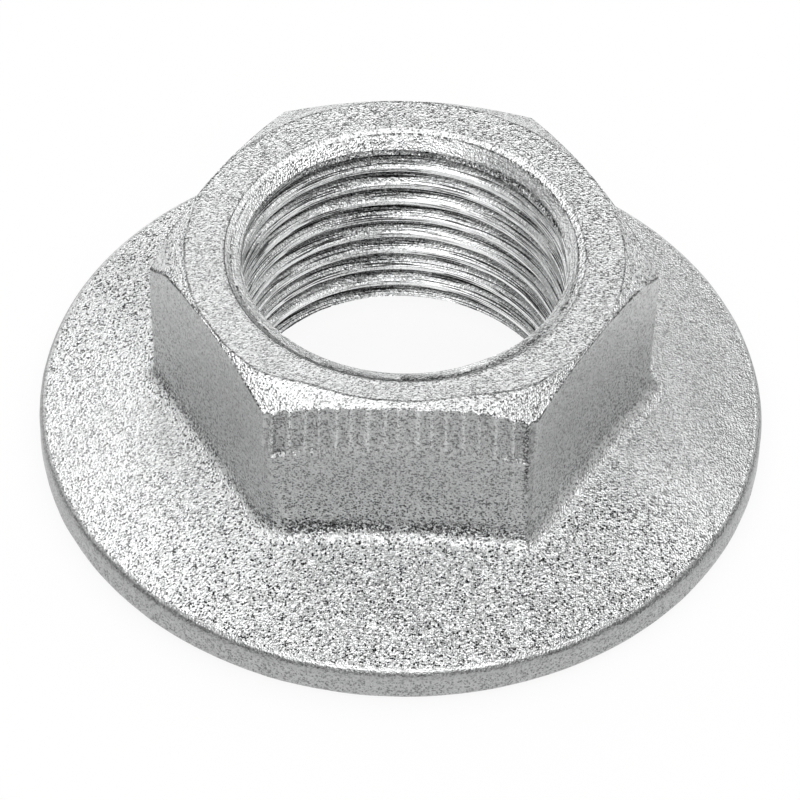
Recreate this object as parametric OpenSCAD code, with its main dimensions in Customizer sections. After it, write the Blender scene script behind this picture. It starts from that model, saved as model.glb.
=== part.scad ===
// Flanged hub nut: a hexagon forged in one piece with a wide round collar.
// Millimetres. +Z runs up the thread axis, and z = 0 is the bearing face under the collar.
// One flat of the hexagon faces -Y, and two of its corners lie on the X axis.

/* [Thread] */
// Nominal thread diameter
thread_nominal = 22; // [20:1:23]
// Radial height of the thread, so the bore is drawn at the thread crests
thread_height = 0.7; // [0.5:0.05:0.8]

/* [Hexagon] */
// Width across the flats
across_flats = 28; // [27:0.5:30]
// Whole height of the nut
nut_height = 16.1; // [14:0.1:20]
// Slope of the crown chamfer against the top face, in degrees
crown_angle = 30; // [20:1:40]
// How far the round top face stays inside the flats
crown_inset = 0.08; // [0.02:0.02:0.6]
// Radius of the hollow foot between the flats and the collar
foot_radius = 1.2; // [0.6:0.1:1.6]

/* [Pressed flat] */
// How far the jaw has pushed the whole front flat in
press_depth = 0.15; // [0.05:0.05:0.4]
// Number of upright jaw marks across the front flat
mark_count = 16; // [10:1:18]
// Depth of each jaw mark below the pressed flat
mark_depth = 0.32; // [0.1:0.02:0.5]
// Radius of the round jaw tooth that left each mark
mark_radius = 0.8; // [0.6:0.05:1.2]
// Height of the jaw marks' lower end above the bearing face
mark_base = 12; // [10:0.1:13]

/* [Collar] */
// Diameter of the collar
collar_diameter = 47.1; // [44:0.1:52]
// Height of the collar's upper edge
collar_edge = 2.78; // [2.2:0.05:4]
// Slope of the collar's upper face, in degrees
collar_slope = 13; // [6:1:20]
// Radius that rounds the collar's upper edge
upper_round = 0.68; // [0.3:0.02:0.9]
// Radius that rounds the collar's lower edge
lower_round = 0.8; // [0.3:0.02:1]

/* [Countersinks] */
// Diameter of the upper countersink in the top face
top_sink = 22.9; // [22.7:0.1:25]
// Diameter of the lower countersink in the bearing face
bottom_sink = 24; // [23:0.1:26]
// Slope of the upper countersink against the thread axis, in degrees
top_sink_angle = 52; // [45:1:65]
// Slope of the lower countersink against the thread axis, in degrees
bottom_sink_angle = 45; // [45:1:65]

/* [Hidden] */
$fn = 144;

bore_radius = thread_nominal / 2 - thread_height;
flat_dist = across_flats / 2;
crown_radius = flat_dist - crown_inset;
collar_radius = collar_diameter / 2;
side_length = across_flats * tan(30);
mark_pitch = side_length / mark_count;
zinc = [0.66, 0.67, 0.68];
// Lets each cutter run past the face it opens
over = 1;

// The collar's upper round is centred here, and its sloping face leaves it at the tangent point
round_x = collar_radius - upper_round;
round_z = collar_edge - upper_round;
slope_x = round_x + upper_round * sin(collar_slope);
slope_z = round_z + upper_round * cos(collar_slope);
// Height of the sloping face, continued to the axis
slope_peak = slope_z + slope_x * tan(collar_slope);

// The foot is cut from a wider hexagon whose own corners stay just under the sloping face
foot_reach = 0.9 * foot_radius;
foot_corner = (flat_dist + foot_reach) / cos(30);
foot_sunk = 0.05;
foot_low = slope_peak - foot_corner * tan(collar_slope) - foot_sunk;
foot_top = foot_low + sqrt(pow(foot_radius, 2) - pow(foot_radius - foot_reach, 2));

// Half of the collar's section, with both edges rounded
module collar_section() {
  polygon([
    [0, 0], [collar_radius - lower_round, 0], [collar_radius - lower_round, lower_round],
    [collar_radius, lower_round], [collar_radius, round_z], [round_x, round_z],
    [slope_x, slope_z], [0, slope_peak]
  ]);
  translate([collar_radius - lower_round, lower_round]) circle(r = lower_round);
  translate([round_x, round_z]) circle(r = upper_round);
}

// Takes off everything outside one flat and leaves the hollow foot below it
module side_cut(dist) {
  rotate([90, 0, 0])
    linear_extrude(height = 2 * across_flats, center = true) {
      translate([dist + foot_radius, foot_top]) circle(r = foot_radius);
      translate([dist, foot_top]) square([3 * foot_radius, nut_height]);
    }
}

// The hexagon with its foot, as tall as the nut and before the crown is turned
module hexagon() {
  difference() {
    translate([0, 0, foot_low / 2])
      cylinder(h = nut_height - foot_low / 2, r = foot_corner, $fn = 6);
    for (side = [0 : 5])
      rotate([0, 0, 30 + 60 * side])
        side_cut(side == 4 ? flat_dist - press_depth : flat_dist);
  }
}

// The cone that turns the hexagon's corners down from the round top face
module crown() {
  cylinder(h = nut_height, r1 = crown_radius + nut_height / tan(crown_angle), r2 = crown_radius);
}

// A row of upright tooth marks over the upper part of the front flat
module jaw_marks() {
  for (mark = [0 : mark_count - 1])
    translate([
      (mark - (mark_count - 1) / 2) * mark_pitch,
      press_depth + mark_depth - flat_dist - mark_radius,
      mark_base
    ])
      cylinder(h = nut_height - mark_base + over, r = mark_radius, $fn = 48);
}

// The bore at the thread crests, with a countersink at each end
module thread_bore() {
  translate([0, 0, -over]) cylinder(h = nut_height + 2 * over, r = bore_radius);
  sink(bottom_sink / 2, bottom_sink_angle);
  translate([0, 0, nut_height]) mirror([0, 0, 1]) sink(top_sink / 2, top_sink_angle);
}

// A countersink cone that opens downwards, past the face it starts from
module sink(rim, angle) {
  depth = (rim - bore_radius + over) / tan(angle);
  translate([0, 0, -over])
    cylinder(h = over + depth, r1 = rim + over * tan(angle), r2 = bore_radius - over);
}

module hub_nut() {
  color(zinc)
    difference() {
      union() {
        rotate_extrude() collar_section();
        intersection() { hexagon(); crown(); }
      }
      jaw_marks();
      thread_bore();
    }
}

hub_nut();
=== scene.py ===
import math

import bmesh
import bpy
import numpy as np
from mathutils import Matrix, Vector, noise


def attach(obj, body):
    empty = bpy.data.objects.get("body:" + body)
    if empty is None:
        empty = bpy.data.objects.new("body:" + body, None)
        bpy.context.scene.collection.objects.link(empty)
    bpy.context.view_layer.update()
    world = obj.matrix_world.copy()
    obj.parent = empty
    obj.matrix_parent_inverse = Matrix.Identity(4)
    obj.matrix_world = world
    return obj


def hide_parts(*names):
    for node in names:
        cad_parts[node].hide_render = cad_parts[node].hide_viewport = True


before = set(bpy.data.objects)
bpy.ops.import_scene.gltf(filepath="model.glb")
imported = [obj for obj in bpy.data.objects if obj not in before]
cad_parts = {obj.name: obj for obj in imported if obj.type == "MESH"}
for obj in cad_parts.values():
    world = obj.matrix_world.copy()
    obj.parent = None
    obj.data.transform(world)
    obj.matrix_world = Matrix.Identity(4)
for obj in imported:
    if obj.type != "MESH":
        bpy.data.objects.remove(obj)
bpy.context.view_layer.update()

# Lengths are in millimetres until the mesh is made. Angles in tables are in degrees round the axis from
# +X, so 90 is behind it, 180 is on the left and 270 is in front, at the flat with the jaw marks.
MM = 0.001
COS_30 = math.cos(math.radians(30))
TAN_30 = math.tan(math.radians(30))

# The hexagon
HEIGHT = 16.099
# Height at which the lamps and the camera aim
MIDDLE = 8
FLAT = 14.0
SIDE = 2 * FLAT * TAN_30
CORNER = 0.12
FOOT_CORNER_LEFT = 3.4
FOOT_CORNER_ELSEWHERE = 0.9
# The corners start to get rounder at the first of these heights and have their foot's radius at the second
ROUNDING_TOP = 11.8
ROUNDING_END = 5.5
FOOT_LEVEL = 5.0
FOOT = 0.9
FRONT_SIDE = 4

# The crown and the dish at the top of the thread
CROWN_R = 13.92
BEND = 0.95
BEND_SLOPE = 0.16
WEAR_LEFT = 0.75
WEAR_RIGHT = 0.35
DISH_EDGE_R = 11.45
DISH_TOP = HEIGHT - 0.03
LIP_R = 11.03
LIP_Z = 15.94

# The pressed front flat and its jaw marks
PRESS = 0.15
MARKS = 16
MARK_PITCH = SIDE / MARKS
MARK_RADIUS = 0.8
MARK_BASE = 11.65
MARK_ARCH = 1.0
MARK_LEVEL = 14.0
LEAN_MIDDLE = 0.16
LEAN_LEFT = 0.08
LEAN_RIGHT = -0.08
LEAN_FROM = 10.5
LEAN_TO = 15.2

# The collar
RIM_R = 23.54
RIM_TOP = 2.78
RIM_UPPER = 0.68
RIM_LOWER = 0.8
SLOPE = math.radians(13)
ROUND_X = RIM_R - RIM_UPPER
ROUND_Z = RIM_TOP - RIM_UPPER
SLOPE_X = ROUND_X + RIM_UPPER * math.sin(SLOPE)
SLOPE_Z = ROUND_Z + RIM_UPPER * math.cos(SLOPE)
PEAK = SLOPE_Z + SLOPE_X * math.tan(SLOPE)

# The thread
CREST_R = 10.3
ROOT_R = 11.05
PITCH = 1.5
DEPTH = ROOT_R - CREST_R
FLANK = DEPTH * TAN_30
CREST_FLAT = PITCH / 4
# Height of one crest's lower edge, straight behind the axis
CREST_Z = 13.2
# Radius of the thread's edge where its last flank starts
EDGE_R = CREST_R + 0.05
TORN_R = 10.45
TORN_HEIGHT = 0.41
BOTTOM_SINK = 12.0
BOTTOM_SINK_TAN = math.tan(math.radians(45))
# Height at which the lower countersink meets the bearing face's last row
SINK_Z = 0.02

# Columns of the mesh across a plain flat, and across each jaw mark
STEPS_PER_FLAT = 46
STEPS_PER_MARK = 7

# Sizes in the material, as lumps per metre
GRAIN_SCALE = 7500
COARSE_SCALE = 2600
LINE_SCALE = 10500
BLOT_SCALE = 5600
# Depth of the grain in metres, and how little the turned lines change along a turn
GRAIN_DEPTH = 0.00017
LINE_DRIFT = 0.0002


def smooth(edge0, edge1, x):
    t = np.clip((x - edge0) / (edge1 - edge0), 0, 1)
    return t * t * (3 - 2 * t)


def field(x, y, z, size, seed):
    """Smooth noise between about -1 and 1 at each point, with lumps of that size."""
    pts = np.stack([x, y, z], -1) / size + seed * 17.3
    return np.array([noise.noise(Vector(p)) for p in pts.reshape(-1, 3)]).reshape(x.shape)


def columns():
    """For each column: its angle round the axis, its place along its flat, and the flat it is on."""
    arc = SIDE / 2 - CORNER * TAN_30
    theta, along, flat_of = [], [], []
    for side in range(6):
        centre = math.radians(30 + 60 * side)
        steps = MARKS * STEPS_PER_MARK if side == FRONT_SIDE else STEPS_PER_FLAT
        places = [-SIDE / 2, -(SIDE / 2 + arc) / 2]
        places += list(np.linspace(-arc, arc, steps + 1))
        places += [(SIDE / 2 + arc) / 2]
        for place in places:
            theta.append(centre + math.atan2(place, FLAT))
            along.append(place)
            flat_of.append(side)
    return np.array(theta), np.array(along), np.array(flat_of)


THETA, ALONG, SIDE_OF = columns()
COLS = len(THETA)
AROUND = np.degrees(THETA) % 360
# Angle from the middle of the column's own flat, and from the middle of the front flat
PHI = np.arctan2(ALONG, FLAT)
FRONT_PHI = (THETA - math.radians(270) + math.pi) % (2 * math.pi) - math.pi
FRONT = SIDE_OF == FRONT_SIDE
NEAR_FRONT = np.abs(FRONT_PHI) < math.radians(36)
# Place along the front flat, in millimetres and as a share from -1 to 1
FRONT_X = np.where(NEAR_FRONT, FLAT * np.tan(np.where(NEAR_FRONT, FRONT_PHI, 0)), SIDE)
FRONT_T = 2 * FRONT_X / SIDE
UNEVEN = field(FRONT_X, FRONT_X * 0, FRONT_X * 0, 1.5, 9)
# The corner on the left of the front flat is the roundest at its foot
LEFT_CORNER = (FRONT & (ALONG < 0)) | ((SIDE_OF == FRONT_SIDE - 1) & (ALONG > 0))
FOOT_CORNER = np.where(LEFT_CORNER, FOOT_CORNER_LEFT, FOOT_CORNER_ELSEWHERE)


def round_nut(angles, values):
    """A value for each column, from values at some angles round the nut."""
    return np.interp(AROUND, angles, values)


def patchy(seed):
    """A share from 0 to 1 that comes and goes round the nut, for broken lines."""
    blots = field(18 * np.cos(THETA), 18 * np.sin(THETA), THETA * 0, 1.7, 20 + seed)
    return np.clip(0.7 + 1.1 * blots, 0, 1)


def hex_radius(offset, z):
    """Distance from the axis to the hexagon grown by offset; its corners get rounder downwards."""
    corner_r = CORNER + (FOOT_CORNER - CORNER) * smooth(ROUNDING_TOP, ROUNDING_END, z)
    inner = FLAT - corner_r
    grow = corner_r + offset
    flat = (inner + grow) / np.cos(PHI)
    corner = inner / COS_30
    delta = math.radians(30) - np.abs(PHI)
    arc = corner * np.cos(delta) + np.sqrt(np.maximum(grow**2 - (corner * np.sin(delta)) ** 2, 0))
    on_flat = np.abs(np.tan(PHI)) * (inner + grow) <= inner * TAN_30
    return np.where(on_flat, flat, arc)


def cone(r):
    """Height of the collar's sloping face."""
    return PEAK - r * math.tan(SLOPE)


def front_limit(pressed, offset=0.0):
    """Radius at which the pressed front flat cuts each column."""
    return (FLAT - pressed + offset) / np.cos(FRONT_PHI)


def mark_place():
    """Place along the front flat in marks, with their uneven spacing."""
    return (FRONT_X + SIDE / 2) / MARK_PITCH + 0.28 * UNEVEN


def mark_base():
    """Height where the jaw marks end; they reach lowest at the two ends."""
    return MARK_BASE + MARK_ARCH * (1 - FRONT_T**2)


def dent(z):
    """How far the front flat lies behind its true place, from the press and the jaw marks."""
    cell = mark_place()
    across = (cell - np.floor(cell) - 0.5) * MARK_PITCH
    rib = math.sqrt(MARK_RADIUS**2 - (MARK_PITCH / 2) ** 2)
    hollow = (np.sqrt(MARK_RADIUS**2 - across**2) - rib) * (0.75 + 0.6 * FRONT_T**2 + 0.6 * UNEVEN)
    marked = smooth(mark_base() - 0.02, mark_base() + 0.08, z)
    lean = LEAN_MIDDLE + LEAN_LEFT * smooth(-0.5, -0.95, FRONT_T) + LEAN_RIGHT * smooth(0.4, 0.9, FRONT_T)
    left_end = 0.03 * smooth(-0.4, -0.9, FRONT_T)
    return PRESS + marked * (hollow + lean * smooth(LEAN_FROM, LEAN_TO, z) + left_end)


def side_radius(offset, z, pressed):
    """Radius of the hexagon's faces, with the front flat pressed in."""
    whole = hex_radius(offset, z)
    return np.where(NEAR_FRONT, np.minimum(whole, front_limit(pressed, offset)), whole)


ON_FRONT = NEAR_FRONT & (front_limit(dent(MARK_LEVEL)) < hex_radius(0, MARK_LEVEL) + 0.01)

# The crown's chamfer meets the top in a circle, which the jaw has bent inwards in front
BENT = smooth(228, 246, AROUND) * smooth(308, 286, AROUND)
CROWN_LINE = CROWN_R - BEND * BENT + 0.04 * field(14 * np.cos(THETA), 14 * np.sin(THETA), THETA * 0, 0.6, 3)
# The corners on the left and right are worn down
WORN_CORNER = np.where(np.cos(THETA) < -0.9, WEAR_LEFT, 0) + np.where(np.cos(THETA) > 0.9, WEAR_RIGHT, 0)


def crown_z(r):
    """Height of the crown at a radius: the bent strip in front, then the chamfer."""
    chamfer = np.maximum(np.maximum((r - CROWN_LINE) * BEND_SLOPE * BENT, (r - CROWN_R) * TAN_30), 0)
    return HEIGHT - chamfer - WORN_CORNER * smooth(15.1, 16.1, r)


# The edge between the crown and the flats, found step by step
edge_r = hex_radius(0, HEIGHT)
for _ in range(12):
    edge_z = crown_z(edge_r)
    edge_r = side_radius(0, edge_z, dent(edge_z))
edge_z = np.minimum(HEIGHT - 0.02, crown_z(edge_r))
crown_r = np.minimum(CROWN_LINE, edge_r - 0.12)
foot_z = cone(side_radius(0, FOOT_LEVEL, PRESS)) + FOOT
# The dish round the thread, whose front edge is a little nearer
in_front = (0.5 - 0.5 * np.sin(THETA)) ** 3
dish_r = DISH_EDGE_R - 0.18 * in_front

# How the surface changes round the nut: its tone, the amount of grain and the soot in its edges. The shade
# tables are partly the metal's own tone and partly painted light: painted reflection and painted shade set
# at angles round the nut, by how the room's light falls on each face.
ON_RIGHT = smooth(0.2, 0.7, np.cos(THETA))
# Painted shade: the dish is darkest in front, where it lies in shade, and lighter round the back
DISH_SHADE = round_nut((0, 60, 90, 130, 180, 225, 270, 315, 360),
                       (0.75, 0.72, 0.7, 0.72, 0.72, 0.58, 0.3, 0.58, 0.75))
DISH_GRAIN = round_nut((0, 60, 90, 130, 180, 225, 270, 315, 360),
                       (0.5, 0.5, 0.5, 0.4, 0.2, 0.2, 0.3, 0.5, 0.5))
# Painted light: the top ring is lighter behind the axis and darker in front
TOP_SHADE = 0.6 + 0.05 * np.sin(THETA)
TOP_GRAIN = 0.5 + 0.14 * np.cos(THETA - math.radians(60))
# Painted light and painted reflection on the crown's chamfer, set at angles round the nut
CROWN_SHADE = round_nut((0, 40, 90, 150, 180, 225, 255, 300, 330, 360),
                        (0.8, 0.84, 0.83, 0.86, 0.9, 0.87, 0.73, 0.58, 0.66, 0.8))
CROWN_GRAIN = 0.6 - 0.15 * BENT * smooth(295, 270, AROUND)
CROWN_SOOT = np.maximum(patchy(2), 0.5)
EDGE_SOOT = patchy(1) * round_nut((0, 60, 90, 120, 180, 235, 245, 295, 305, 360),
                                  (1.0, 0.8, 0.3, 0.9, 0.9, 0.7, 0.15, 0.2, 0.9, 1.0))
# Painted light on the flats, over their darker finish: the pressed front flat is darkest, and the flats on
# the right are lighter than those on the left
FLAT_SHADE = np.where(ON_FRONT, 0.55, 0.645 + 0.055 * np.cos(THETA))
FLAT_GRAIN = np.where(FRONT, 0.45, 0.33)
CORNER_SOOT = smooth(0.22, 0.08, np.abs(FRONT_X - np.where(FRONT_X > 0, 7.98, -8.1)))
CORNER_SOOT = CORNER_SOOT * np.where(FRONT_X > 0, 0.35, 0.2)
# Painted light: the tone that the flats reach at their foot, lighter than higher up
FOOT_SHADE = np.where(ON_FRONT, 0.62, 0.82)
FOOT_SOOT = np.where(FRONT, 0.4 * smooth(-7.6, -6.6, ALONG), 0.3 - 0.15 * ON_RIGHT)
FOOT_SOOT = FOOT_SOOT * (0.5 + 0.5 * patchy(5))
CONE_GRAIN = round_nut((0, 60, 110, 150, 190, 205, 235, 255, 290, 315, 335, 360),
                       (0.32, 0.5, 0.7, 1.0, 0.42, 0.45, 0.8, 1.0, 1.0, 1.0, 0.4, 0.32))
# Painted light and painted reflection on the collar's slope, set at angles round the nut
CONE_SHADE = round_nut((0, 90, 130, 150, 175, 200, 225, 250, 300, 325, 345, 360),
                       (0.58, 0.84, 0.74, 0.62, 0.84, 0.77, 0.87, 0.93, 0.78, 0.68, 0.54, 0.56))
# Painted shade on the rim's side, and a painted highlight along its upper rounding
RIM_SHADE = 0.48
RIM_EDGE_SHADE = round_nut((0, 200, 270, 324, 360), (0.85, 1, 1, 0.82, 0.85))
RIM_SOOT = 0.25 * patchy(4) * smooth(235, 255, AROUND) * smooth(335, 305, AROUND)

rows = []


def row(r, z, grain, soot=0.0, shade=0.95):
    """One ring of points, with the amounts of grain and soot on it and its shade: its tone with painted
    light.
    """
    one = np.ones(COLS)
    rows.append((r * one, z * one, grain * one, soot * one, shade * one))


def dish_rows():
    """The shallow dish, from the thread's last edge outwards, with painted shade at its front."""
    row(LIP_R, LIP_Z, DISH_GRAIN, 0.5 * patchy(6), 0.9 * DISH_SHADE)
    row(LIP_R + 0.05, LIP_Z + 0.01, DISH_GRAIN, 0, DISH_SHADE)
    for s in (0.35, 0.65, 0.85):
        row(LIP_R + (dish_r - LIP_R) * s, LIP_Z + (DISH_TOP - LIP_Z) * s, DISH_GRAIN, 0, DISH_SHADE)
    row(dish_r, DISH_TOP, 0.5, 0.2 * patchy(3), TOP_SHADE * (1 - 0.35 * patchy(3)))


def top_rows():
    """The flat ring on top, out to the dark circle where the crown starts."""
    row(dish_r + 0.08, HEIGHT, TOP_GRAIN, 0.1, TOP_SHADE)
    for s in (0.12, 0.3, 0.5, 0.7, 0.85, 0.95):
        row(dish_r + (crown_r - dish_r) * s, HEIGHT, TOP_GRAIN, 0, TOP_SHADE)
    row(crown_r - 0.1, HEIGHT, TOP_GRAIN, 0, TOP_SHADE)
    for across, dark in ((-0.04, 1.0), (0.03, 1.1)):
        shade = TOP_SHADE * (1 - 0.4 * dark * CROWN_SOOT)
        row(crown_r + across, HEIGHT - 0.01, 0.6, 0.15 * dark * CROWN_SOOT, shade)


def crown_rows():
    """The crown, smooth where the jaw has bent it, and its sooty edge over the flats."""
    for s in (0.06, 0.2, 0.45, 0.7, 0.9):
        r = crown_r + (edge_r - crown_r) * s
        row(r, np.minimum(HEIGHT - 0.01, crown_z(r)), CROWN_GRAIN, 0, CROWN_SHADE)
    for lip, dark in ((0.12, 0.15), (0.06, 0.9)):
        r = edge_r - lip
        row(r, np.minimum(HEIGHT - 0.01, crown_z(r)), 0.6, dark * EDGE_SOOT, 0.88 - 0.3 * dark * EDGE_SOOT)
    row(edge_r - 0.01, edge_z - 0.03, 0.5, EDGE_SOOT, 0.7)


def mark_look(z):
    """Soot and a gain in tone for the jaw marks, both painted light: painted shade in the hollows, a
    painted highlight on the thin ribs between them.
    """
    cell = mark_place()
    middle = 1 - 2 * np.abs(cell - np.floor(cell) - 0.5)
    marked = ON_FRONT * smooth(mark_base() - 0.1, mark_base() + 0.3, z)
    soot = marked * smooth(0.3, 0.75, middle) * (0.06 + 0.06 * FRONT_T**2)
    rib = marked * smooth(0.25, 0.05, middle)
    return soot, 1 + marked * (0.02 + 0.42 * rib - 0.1 * FRONT_T**2 * (1 - rib))


def flat_row(z, grain, soot, shade):
    """One ring round the flats, with the jaw marks and the sooty corners of the front flat."""
    # The jaw marks' soot and gain in tone are painted shade in their hollows and a painted highlight on
    # their ribs
    mark, mark_painted_light = mark_look(z)
    corner = CORNER_SOOT * np.where(FRONT_X > 0, smooth(6.0, 11.5, z), smooth(11.5, 12.3, z))
    row(side_radius(0, z, dent(z)), z, grain, np.maximum(soot, np.maximum(mark, corner)), shade * mark_painted_light)


def flat_rows():
    """The flats, from the crown's edge to the foot, with close rows where the jaw marks end."""
    marks_end = MARK_BASE - 0.3
    for s in (0.0, 0.12, 0.25, 0.4, 0.55, 0.7, 0.82, 0.92, 1.0):
        flat_row((edge_z - 0.1) * (1 - s) + (marks_end + 0.7) * s, FLAT_GRAIN, 0, FLAT_SHADE)
    for above in (0.55, 0.42, 0.3, 0.15, 0):
        flat_row((marks_end + above) * np.ones(COLS), FLAT_GRAIN, 0, FLAT_SHADE)
    for s in (0.15, 0.3, 0.45, 0.6, 0.72, 0.84, 0.93, 1.0):
        grain = FLAT_GRAIN + np.where(FRONT, 0.45 * s**2, 0.32 * s)
        soot = FOOT_SOOT * max(0, s - 0.84) / 0.16
        # Painted light: the flats get lighter towards the foot, gradually on the front flat and only right
        # at the foot on the others
        shade = FLAT_SHADE + (FOOT_SHADE - FLAT_SHADE) * np.where(FRONT, s**2, s**8)
        flat_row(marks_end * (1 - s) + foot_z * s, grain, soot, shade)


def foot_rows():
    """The hollow foot, which turns from the flats out to the collar's slope."""
    for s in (0.04, 0.12, 0.25, 0.42, 0.62, 0.82, 1.0):
        t = FOOT * s
        r = side_radius(t, FOOT_LEVEL, PRESS * (1 - s))
        z = cone(r) + FOOT - math.sqrt(FOOT**2 - (FOOT - t) ** 2)
        calm = 0.35 * smooth(0.1, 0.25, s) * smooth(0.9, 0.5, s)
        grain = np.where(FRONT, 1.0 - calm, 0.7 - 0.25 * ON_RIGHT)
        # Painted highlight: the foot turns light towards the collar, less so on the right
        end_shade = 0.87 - 0.12 * ON_RIGHT * (s > 0.3)
        shade = FOOT_SHADE + (end_shade - FOOT_SHADE) * smooth(0, 0.3, s)
        row(r, z, grain, FOOT_SOOT * smooth(0.3, 0.08, s), shade)


def collar_rows():
    """The collar: its sloping face, its rounded rim and the bearing face under it."""
    start = side_radius(FOOT, FOOT_LEVEL, 0)
    for s in np.linspace(0.05, 1, 20):
        r = start * (1 - s) + SLOPE_X * s
        row(r, cone(r), CONE_GRAIN, 0, CONE_SHADE + 0.04 * s)
    for degrees in (66, 54, 42, 28, 14, 0):
        a = math.radians(degrees)
        grain = 0.5 if degrees > 60 else 0.25
        soot = RIM_SOOT if degrees == 28 else 0
        # The upper rounding carries the painted highlight, and the rest of the rim carries painted shade
        shade = RIM_SHADE if degrees < 50 else RIM_EDGE_SHADE
        row(ROUND_X + RIM_UPPER * math.cos(a), ROUND_Z + RIM_UPPER * math.sin(a), grain, soot, shade)
    for s in (0.25, 0.5, 0.75):
        row(RIM_R, ROUND_Z * (1 - s) + RIM_LOWER * s, 0.4, 0, RIM_SHADE)
    for degrees in (0, 15, 30, 45, 60, 75, 90):
        a = math.radians(degrees)
        row(RIM_R - RIM_LOWER * (1 - math.cos(a)), RIM_LOWER * (1 - math.sin(a)), 0.4, 0, RIM_SHADE)
    for s in (0.1, 0.3, 0.5, 0.7, 0.9, 0.98):
        row((RIM_R - RIM_LOWER) * (1 - s) + BOTTOM_SINK * s, 0, 0.5)
    row(BOTTOM_SINK, SINK_Z, 0.4)


dish_rows()
top_rows()
crown_rows()
flat_rows()
foot_rows()
collar_rows()
OUT = len(rows)
R, Z, GRAIN, SOOT, SHADE = [np.stack(values) for values in zip(*rows)]


def forge(r, z):
    """Radii and heights with the low lumps that forging leaves on the collar, the rim and the flats."""
    x = r * np.cos(THETA)
    y = r * np.sin(THETA)
    lump = 0.6 * field(x, y, z, 2.6, 1) + 0.4 * field(x, y, z, 1.1, 2)
    z = z + 0.06 * lump * smooth(16.0, 17.5, r) * smooth(1.5, 2.4, z)
    r = r - (0.04 + 0.05 * lump) * smooth(22.9, 23.4, r)
    on_flat = smooth(5.5, 6.5, z) * smooth(HEIGHT, HEIGHT - 0.4, z) * smooth(13.0, 13.4, r)
    r = r + 0.025 * lump * on_flat
    on_top = smooth(HEIGHT - 2.2, HEIGHT - 0.1, z) * smooth(DISH_EDGE_R, DISH_EDGE_R + 0.5, r)
    return r, z - (0.015 + 0.02 * lump) * on_top


R, Z = forge(R, Z)

# One pitch of the thread: height above the crest's lower edge, radius, soot and shade. The shade is painted
# light: a painted highlight on the crest and painted shade deep in the groove.
SECTION = [
    (0.0, CREST_R + 0.03, 0.05, 1.0),
    (0.03, CREST_R, 0, 1.1),
    (CREST_FLAT - 0.03, CREST_R, 0, 1.15),
    (CREST_FLAT, CREST_R + 0.03, 0, 1.2),
    (CREST_FLAT + FLANK * 0.22, CREST_R + DEPTH * 0.22, 0.05, 1.15),
    (CREST_FLAT + FLANK * 0.48, CREST_R + DEPTH * 0.48, 0.05, 1.05),
    (CREST_FLAT + FLANK * 0.62, CREST_R + DEPTH * 0.62, 0.1, 0.8),
    (CREST_FLAT + FLANK * 0.72, CREST_R + DEPTH * 0.72, 0.1, 0.55),
    (CREST_FLAT + FLANK * 0.93, ROOT_R - 0.05, 0.1, 0.42),
    (CREST_FLAT + FLANK + 0.05, ROOT_R, 0.1, 0.4),
    (PITCH - FLANK - 0.05, ROOT_R, 0.1, 0.4),
    (PITCH - FLANK * 0.5, CREST_R + DEPTH * 0.5, 0.1, 0.45),
]
STEPS = len(SECTION)

# The bore's rows climb one pitch round the nut, and reach from below the bearing face to above the top.
# The shares of a turn are counted from the first column.
turn = (THETA - THETA[0]) / (2 * math.pi)
behind = ((math.pi / 2 - THETA[0]) % (2 * math.pi)) / (2 * math.pi)
lowest = CREST_Z - behind * PITCH
lowest -= PITCH * math.ceil((lowest + PITCH) / PITCH)
BORE = (math.ceil((HEIGHT - lowest) / PITCH) + 1) * STEPS + 1
bore_z = np.empty((BORE, COLS))
bore_r = np.empty((BORE, COLS))
for k in range(BORE):
    h, r = SECTION[k % STEPS][:2]
    bore_z[k] = lowest + (k // STEPS) * PITCH + h + turn * PITCH
    bore_r[k] = r
wear = field(bore_z * 0.8, THETA * 14 * np.ones_like(bore_z), bore_z * 0, 1.0, 5)
bore_r = bore_r - 0.018 * wear * (bore_r < CREST_R + 0.1)
low = bore_z <= SINK_Z
high = bore_z >= LIP_Z - 0.02

# The last flank is clean, and the crest just below it is torn and dark. Both are given by angle from
# -60 to 300: the height of the torn crest's upper edge, and how far the dark band reaches below it.
swing = (AROUND + 60) % 360 - 60
TORN_AT = (-60, 0, 14, 32, 45, 58, 75, 90, 104, 118, 140, 165, 200, 300)
TORN_TOP = (15.88, 15.45, 15.4, 15.38, 15.35, 15.2, 15.08, 15.12, 15.25, 15.36, 15.45, 15.6, 15.7, 15.88)
TORN_BAND = (0, 0.3, 0.5, 0.8, 0.85, 0.8, 0.9, 0.93, 0.93, 0.75, 0.3, 0.1, 0, 0)
clean_z = np.interp(swing, TORN_AT, TORN_TOP)
dark_band = np.interp(swing, TORN_AT, TORN_BAND)
torn = bore_z > clean_z - TORN_HEIGHT
bore_r = np.where(torn, TORN_R + 0.08 * wear, bore_r)
below_torn = (bore_z > clean_z - dark_band) & (swing > -10)
torn_soot = smooth(-10, 20, swing) * smooth(175, 130, swing)

# The lower countersink and the last flank, whose edge is the row just under it
in_flank = bore_z > clean_z
last_flank = EDGE_R + (LIP_R - EDGE_R) * (bore_z - clean_z) / (LIP_Z - clean_z)
sink_r = BOTTOM_SINK - (bore_z - SINK_Z) * BOTTOM_SINK_TAN
in_sink = sink_r > bore_r
bore_r = np.where(in_flank, last_flank, np.maximum(bore_r, sink_r))
edge_row = (~in_flank).sum(axis=0) - 1
bore_r[edge_row, np.arange(COLS)] = EDGE_R
bore_z[edge_row, np.arange(COLS)] = clean_z
in_flank[edge_row, np.arange(COLS)] = True

# How the bore changes round the nut: painted shade darkens the far wall most, a little left of the middle
far_wall_shade = 1 - 0.48 * np.exp(-((AROUND - 108) / 25) ** 2)
rough = np.exp(-((AROUND - 105) / 18) ** 2)
worn = smooth(60, 110, AROUND) * smooth(165, 135, AROUND)
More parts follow.
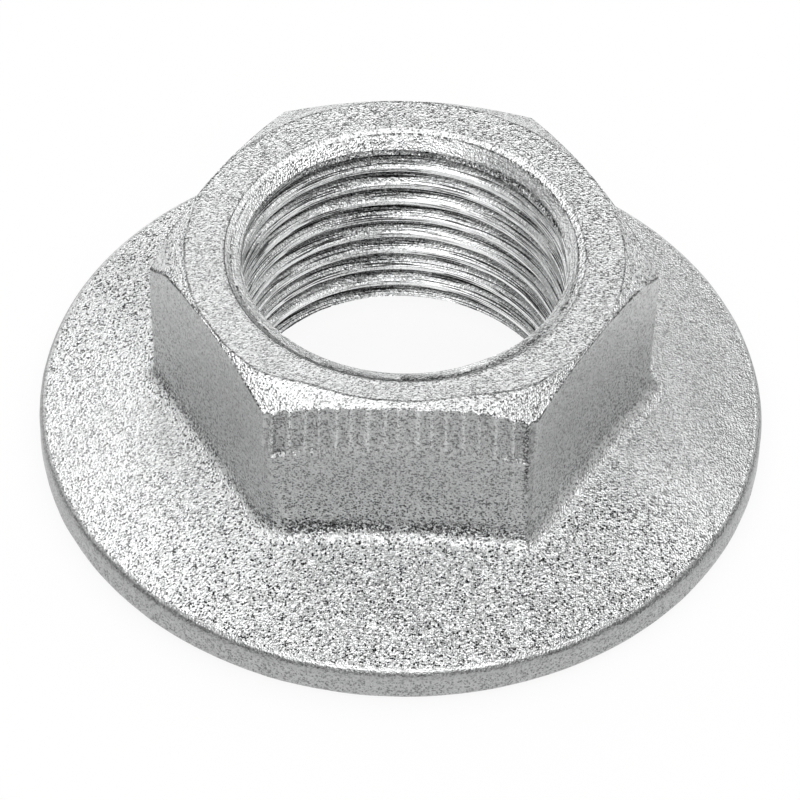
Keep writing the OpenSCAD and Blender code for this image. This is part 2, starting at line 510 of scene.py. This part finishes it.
# Painted shade: the grooves on the left wall are darker still
left_wall = smooth(115, 140, AROUND) * smooth(200, 180, AROUND)
# Painted shade on the last flank and the countersink, darkest in front
FLANK_SHADE = round_nut((0, 60, 90, 200, 235, 270, 305, 340, 360),
                        (0.95, 1, 0.95, 0.95, 0.7, 0.55, 0.7, 0.95, 0.95))


def bore_look(k, j):
    """Grain, soot, shade and strength of the turned lines at one point of the bore."""
    groove_soot, groove_shade = SECTION[k % STEPS][2:]
    if in_flank[k, j] or in_sink[k, j]:
        return 0.2 + 0.5 * worn[j], 0.0, FLANK_SHADE[j], 0.3
    if torn[k, j]:
        return 0.8, 0.22 * torn_soot[j], 1 - 0.35 * torn_soot[j], 0.4
    if below_torn[k, j]:
        shade = groove_shade + (0.6 - groove_shade) * torn_soot[j]
        return 0.15 + 0.65 * torn_soot[j], 0.22 * torn_soot[j], shade, 0.6
    in_groove = groove_shade < 0.9
    # Painted shade in the grooves, deepest on the far wall and on the left wall
    shade = groove_shade * far_wall_shade[j] * (1 - 0.4 * left_wall[j] * in_groove)
    return 0.1 + 0.3 * rough[j] + 2.0 * groove_soot, groove_soot, shade, 1.0


# Points of the mesh: the outer rows, then the bore's own points between its two ends
verts = [(R[i, j] * math.cos(THETA[j]), R[i, j] * math.sin(THETA[j]), Z[i, j])
         for i in range(OUT) for j in range(COLS)]
looks = [(GRAIN[i, j], SOOT[i, j], SHADE[i, j], 0.0) for i in range(OUT) for j in range(COLS)]
index = np.empty((BORE, COLS), int)
for k in range(BORE):
    for j in range(COLS):
        if low[k, j]:
            index[k, j] = (OUT - 1) * COLS + j
        elif high[k, j]:
            index[k, j] = j
        else:
            index[k, j] = len(verts)
            r = bore_r[k, j]
            verts.append((r * math.cos(THETA[j]), r * math.sin(THETA[j]), bore_z[k, j]))
            looks.append(bore_look(k, j))

faces = []


def face(*corners):
    """A face without the points that it would name twice, and none where fewer than three are left."""
    ring = [int(v) for v in dict.fromkeys(corners)]
    if len(ring) > 2:
        faces.append(ring)


for i in range(OUT - 1):
    for j in range(COLS):
        n = (j + 1) % COLS
        face(i * COLS + j, (i + 1) * COLS + j, (i + 1) * COLS + n, i * COLS + n)
for k in range(BORE - 1):
    for j in range(COLS - 1):
        face(index[k, j], index[k + 1, j], index[k + 1, j + 1], index[k, j + 1])
# After a full turn each row of the bore meets the row one pitch above it
last = COLS - 1
for k in range(BORE - 1 - STEPS):
    face(index[k, last], index[k + 1, last], index[k + 1 + STEPS, 0], index[k + STEPS, 0])


def add_mesh(name, points, rings):
    mesh = bpy.data.meshes.new(name)
    mesh.from_pydata([Vector(p) * MM for p in points], [], rings)
    mesh.validate()
    piece = bpy.data.objects.new(name, mesh)
    bpy.context.scene.collection.objects.link(piece)
    return piece


def turn_faces_outwards(mesh):
    bm = bmesh.new()
    bm.from_mesh(mesh)
    bmesh.ops.recalc_face_normals(bm, faces=bm.faces)
    bm.to_mesh(mesh)
    bm.free()


nut = add_mesh("nut_body", verts, faces)
for name, values in zip(("grain", "soot", "shade", "turned"), zip(*looks)):
    layer = nut.data.attributes.new(name, "FLOAT", "POINT")
    layer.data.foreach_set("value", np.array(values, np.float32))
turn_faces_outwards(nut.data)
nut.data.shade_smooth()
nut.data.set_sharp_from_angle(angle=math.radians(40))


class Nodes:
    """Short calls for building one material."""

    def __init__(self, name):
        self.material = bpy.data.materials.new(name)
        self.material.use_nodes = True
        self.tree = self.material.node_tree
        self.tree.nodes.clear()

    def new(self, kind):
        return self.tree.nodes.new("ShaderNode" + kind)

    def put(self, socket, value):
        if isinstance(value, bpy.types.NodeSocket):
            self.tree.links.new(value, socket)
        else:
            socket.default_value = value

    def fill(self, kind, *values):
        """A node with its first inputs set, which gives its first output."""
        node = self.new(kind)
        for socket, value in zip(node.inputs, values):
            self.put(socket, value)
        return node.outputs[0]

    def math(self, operation, *values, clamp=False):
        node = self.new("Math")
        node.operation = operation
        node.use_clamp = clamp
        for socket, value in zip(node.inputs, values):
            self.put(socket, value)
        return node.outputs[0]

    def times(self, *values):
        return self.math("MULTIPLY", *values)

    def plus(self, *values):
        return self.math("ADD", *values)

    def minus(self, *values):
        return self.math("SUBTRACT", *values)

    def remap(self, value, low, high, to_low, to_high):
        return self.fill("MapRange", value, low, high, to_low, to_high)

    def noise(self, place, scale, detail, rough):
        node = self.new("TexNoise")
        for name, value in (("Vector", place), ("Scale", scale), ("Detail", detail), ("Roughness", rough)):
            self.put(node.inputs[name], value)
        return node.outputs[0]

    def attribute(self, name):
        node = self.new("Attribute")
        node.attribute_name = name
        return node.outputs["Fac"]

    def finish(self, surface):
        self.put(self.new("OutputMaterial").inputs[0], surface)
        return self.material


def turned_lines(m, place):
    """Lines that follow the thread: noise that hardly changes along a turn."""
    split = m.new("SeparateXYZ")
    m.put(split.inputs[0], place)
    x, y, z = split.outputs
    radius = m.math("SQRT", m.plus(m.times(x, x), m.times(y, y)))
    angle = m.math("ARCTAN2", y, x)
    climb = m.minus(z, m.times(angle, PITCH * MM / (2 * math.pi)))
    ring = m.fill("CombineXYZ", radius, m.times(angle, LINE_DRIFT), climb)
    return m.noise(ring, LINE_SCALE, 1.5, 0.65)


def zinc():
    """Blasted zinc: grain with painted shade in its pits, turned lines in the bore, and soot in the edges.
    """
    m = Nodes("blasted_zinc")
    place = m.new("TexCoord").outputs["Object"]
    grain = m.attribute("grain")
    soot = m.attribute("soot")
    turned = m.attribute("turned")
    fine = m.noise(place, GRAIN_SCALE, 1.0, 0.6)
    coarse = m.noise(place, COARSE_SCALE, 2.0, 0.5)
    cells = m.new("TexVoronoi")
    m.put(cells.inputs["Vector"], place)
    cells.inputs["Scale"].default_value = GRAIN_SCALE
    pits = cells.outputs["Distance"]
    lines = turned_lines(m, place)

    # Bump: the grain everywhere, and the turned lines in the bore
    height = m.plus(m.times(fine, 0.55), m.times(pits, 0.6))
    height = m.times(m.plus(height, m.times(coarse, 0.3)), grain)
    height = m.plus(height, m.times(m.times(lines, turned), 0.35))
    bump = m.new("Bump")
    bump.inputs["Strength"].default_value = 1.0
    bump.inputs["Distance"].default_value = GRAIN_DEPTH
    m.put(bump.inputs["Height"], height)

    # The grain's tone is painted light: painted shade in the pits and a painted highlight on the tops
    # between them
    facet = m.fill("SeparateColor", cells.outputs["Color"])
    relief = m.plus(m.times(fine, 0.5), m.times(pits, 0.25))
    relief = m.plus(relief, m.times(facet, 0.25))
    deep = m.math("MAXIMUM", m.minus(0.8, m.times(grain, 0.95)), 0.03)
    bright = m.plus(0.8, m.times(grain, 0.6))
    low = m.plus(0.34, m.times(grain, 0.03))
    high = m.minus(0.57, m.times(grain, 0.1))
    tone = m.remap(relief, low, high, deep, bright)
    tone = m.times(tone, m.remap(coarse, 0.3, 0.7, 0.93, 1.05))
    # The turned lines are dark and bright, and soot lies in blots
    streak = m.remap(lines, 0.41, 0.46, 0.12, 1.45)
    tone = m.times(tone, m.minus(1.0, m.times(m.minus(1.0, streak), turned)))
    blots = m.plus(m.noise(place, BLOT_SCALE, 2.0, 0.7), m.times(soot, 0.12))
    dark = m.times(m.remap(blots, 0.5, 0.56, 0.0, 1.0), m.math("MULTIPLY", soot, 3.0, clamp=True))
    tone = m.times(tone, m.minus(1.0, m.times(dark, 0.85)))
    # The shade attribute multiplies the tone: painted light, painted reflection and painted shade over the
    # metal's own tone
    tone = m.math("MINIMUM", m.times(tone, m.attribute("shade")), 1.0)

    shader = m.new("BsdfPrincipled")
    colour = m.fill("CombineColor", m.times(tone, 0.99), tone, tone)
    m.put(shader.inputs["Base Color"], colour)
    shader.inputs["Metallic"].default_value = 1.0
    m.put(shader.inputs["Roughness"], m.remap(fine, 0.3, 0.7, 0.24, 0.40))
    m.put(shader.inputs["Normal"], bump.outputs[0])
    return m.finish(shader.outputs[0])


nut.data.materials.append(zinc())
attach(nut, "root")
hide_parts("hub_nut")


def pale_floor():
    """White to the camera and in the metal, while it still takes the nut's shadow."""
    m = Nodes("pale_floor")
    path = m.new("LightPath").outputs
    seen = m.math("MAXIMUM", path["Is Glossy Ray"], path["Is Transmission Ray"])
    seen = m.math("MAXIMUM", path["Is Camera Ray"], seen)
    diffuse = m.fill("BsdfDiffuse", (0.8, 0.8, 0.8, 1))
    glow = m.fill("Emission", (1, 1, 1, 1), 1.0)
    return m.finish(m.fill("MixShader", m.times(seen, 0.9), diffuse, glow))


# The floor lies a little under the bearing face
FLOOR_REACH = 1500
FLOOR_Z = -0.02
floor = add_mesh("floor", [(-FLOOR_REACH, -FLOOR_REACH, FLOOR_Z), (FLOOR_REACH, -FLOOR_REACH, FLOOR_Z),
                           (FLOOR_REACH, FLOOR_REACH, FLOOR_Z), (-FLOOR_REACH, FLOOR_REACH, FLOOR_Z)],
                 [(0, 1, 2, 3)])
floor.data.materials.append(pale_floor())

# World: a plain pale room
world = bpy.data.worlds.new("room")
bpy.context.scene.world = world
world.use_nodes = True
back = world.node_tree.nodes["Background"]
back.inputs["Strength"].default_value = 0.25
back.inputs["Color"].default_value = (1, 1, 1, 1)


def softbox(name, place, size, watts):
    """A rectangular lamp at a place in metres, aimed at the middle of the nut."""
    light = bpy.data.lights.new(name, "AREA")
    light.shape = "RECTANGLE"
    light.size, light.size_y = size
    light.energy = watts
    lamp = bpy.data.objects.new(name, light)
    lamp.location = place
    aim = Vector((0, 0, MIDDLE * MM)) - Vector(place)
    lamp.rotation_euler = aim.to_track_quat("-Z", "Y").to_euler()
    bpy.context.scene.collection.objects.link(lamp)


softbox("back_panel", (-0.20, 0.42, 0.36), (0.75, 0.45), 1.0)
softbox("overhead_panel", (0.06, -0.02, 0.52), (1.10, 0.70), 4.1)
softbox("front_panel", (0.0, -0.48, 0.40), (0.60, 0.35), 0.75)

# The camera, from the elevation, distance and roll that fit the photograph
ELEVATION = math.radians(46.6)
DISTANCE = 319.5
SHIFT_LEFT = 0.061
SHIFT_DOWN = 3.779
ROLL = math.radians(1.47)
FOCAL_PX = 4967
FRAME_PX = 800
level = Vector((1, 0, 0))
steep = Vector((0, math.sin(ELEVATION), math.cos(ELEVATION)))
away = Vector((0, -math.cos(ELEVATION), math.sin(ELEVATION)))
right = level * math.cos(ROLL) + steep * math.sin(ROLL)
up = steep * math.cos(ROLL) - level * math.sin(ROLL)
spot = away * DISTANCE - level * SHIFT_LEFT - steep * SHIFT_DOWN + Vector((0, 0, MIDDLE))
camera_data = bpy.data.cameras.new("camera")
camera_data.sensor_width = 36
camera_data.lens = camera_data.sensor_width * FOCAL_PX / FRAME_PX
camera_data.clip_start = 0.01
camera = bpy.data.objects.new("camera", camera_data)
camera.matrix_world = Matrix((
    (right.x, up.x, away.x, spot.x * MM), (right.y, up.y, away.y, spot.y * MM),
    (right.z, up.z, away.z, spot.z * MM), (0, 0, 0, 1)))
bpy.context.scene.collection.objects.link(camera)
bpy.context.scene.camera = camera
bpy.context.scene.view_settings.view_transform = "Standard"

bpy.context.view_layer.update()
